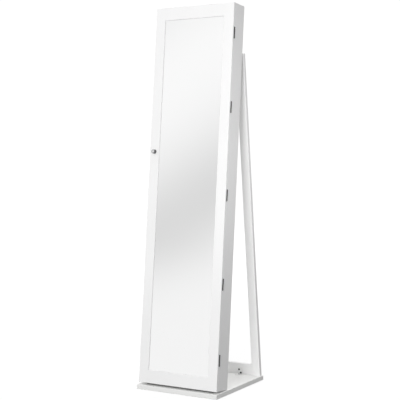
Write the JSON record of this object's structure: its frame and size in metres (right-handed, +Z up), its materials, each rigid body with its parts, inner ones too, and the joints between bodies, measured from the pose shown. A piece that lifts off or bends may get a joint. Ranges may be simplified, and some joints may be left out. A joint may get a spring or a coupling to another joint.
{
  "type": "jewelry mirror cabinet",
  "caption": "Slim leaning cabinet with a framed full-length mirror door, side hinges and a cam lock, on a square base board with a rear stand.",
  "frame": {"origin": "middle of the base board's underside, on the floor", "axes": "+X to the viewer's right as one faces the mirror, +Y to the back, +Z up"},
  "size_m": [0.368, 0.378, 1.5179],
  "materials": {
    "white_board": "satin white lacquer on fibreboard",
    "velvet": "black velvet on thin board",
    "velvet_foam": "black velvet over foam",
    "mirror": "silvered glass",
    "backing_board": "white-faced hardboard",
    "beech": "fluted beech",
    "dark_steel": "dark nickel on steel",
    "black_screw": "black oxide",
    "zinc_steel": "bright zinc",
    "white_steel": "white powder coat",
    "chrome": "polished",
    "magnet": "sintered ferrite",
    "white_plastic": "moulded",
    "rubber": "soft clear pad"
  },
  "bodies": {
    "cabinet": {"cabinet_side_left": "white_board", "cabinet_side_right": "white_board", "cabinet_top": "white_board", "carcass_dowels": "beech", "shelf_dowels": "beech", "shelf_lower": "white_board", "shelf_middle": "white_board", "shelf_upper": "white_board", "shelf_guard_rods": "chrome", "necklace_hooks": "chrome", "bracelet_bar": "velvet", "ring_board": "velvet", "ring_rolls": "velvet_foam", "hinge_cabinet_leaves": "dark_steel", "hinge_cabinet_screws": "dark_steel", "hinge_pins": "dark_steel", "strike_bracket": "zinc_steel", "strike_screws": "zinc_steel", "catch_housings": "white_plastic", "catch_magnets": "magnet", "door_bumpers": "rubber", "base_board": "white_board", "foot_screws": "zinc_steel", "wedge_cleat": "white_board", "cabinet_bottom": "white_board", "cabinet_back": "white_board", "back_lining": "velvet", "necklace_rail": "velvet", "stand_leg_left": "white_board", "stand_leg_right": "white_board", "stand_bottom_rail": "white_board", "stand_top_rail": "white_board", "stand_dowels": "beech", "stand_cleat": "white_board", "stand_cleat_screws": "zinc_steel", "corner_braces": "white_steel", "brace_rail_screws": "black_screw", "brace_base_screws": "zinc_steel"},
    "door": {"door_stile_left": "white_board", "door_stile_right": "white_board", "door_rail_bottom": "white_board", "door_rail_top": "white_board", "door_dowels": "beech", "mirror_glass": "mirror", "door_backing": "backing_board", "hinge_door_leaves": "dark_steel", "hinge_door_screws": "dark_steel", "earring_panel": "velvet", "earring_posts": "white_plastic", "earring_screws": "zinc_steel", "door_hook_rail": "velvet", "door_hooks": "chrome", "door_tray": "white_plastic", "catch_keepers": "zinc_steel", "lock_barrel": "chrome", "lock_nut": "zinc_steel"},
    "lock": {"lock_plug": "chrome", "lock_cam": "zinc_steel", "lock_cam_screw": "zinc_steel"}
  },
  "joints": [
    {"name": "door_hinge", "type": "hinge", "parent": "cabinet", "child": "door", "pos_m": [0.1797, -0.08916, 0.77136], "axis": [0, 0.1097, 0.994], "range_deg": [0, 180]},
    {"name": "lock_turn", "type": "hinge", "parent": "door", "child": "lock", "pos_m": [-0.15775, -0.08096, 0.94048], "axis": [0, 0.994, -0.1097], "range_deg": [0, 90]}
  ]
}
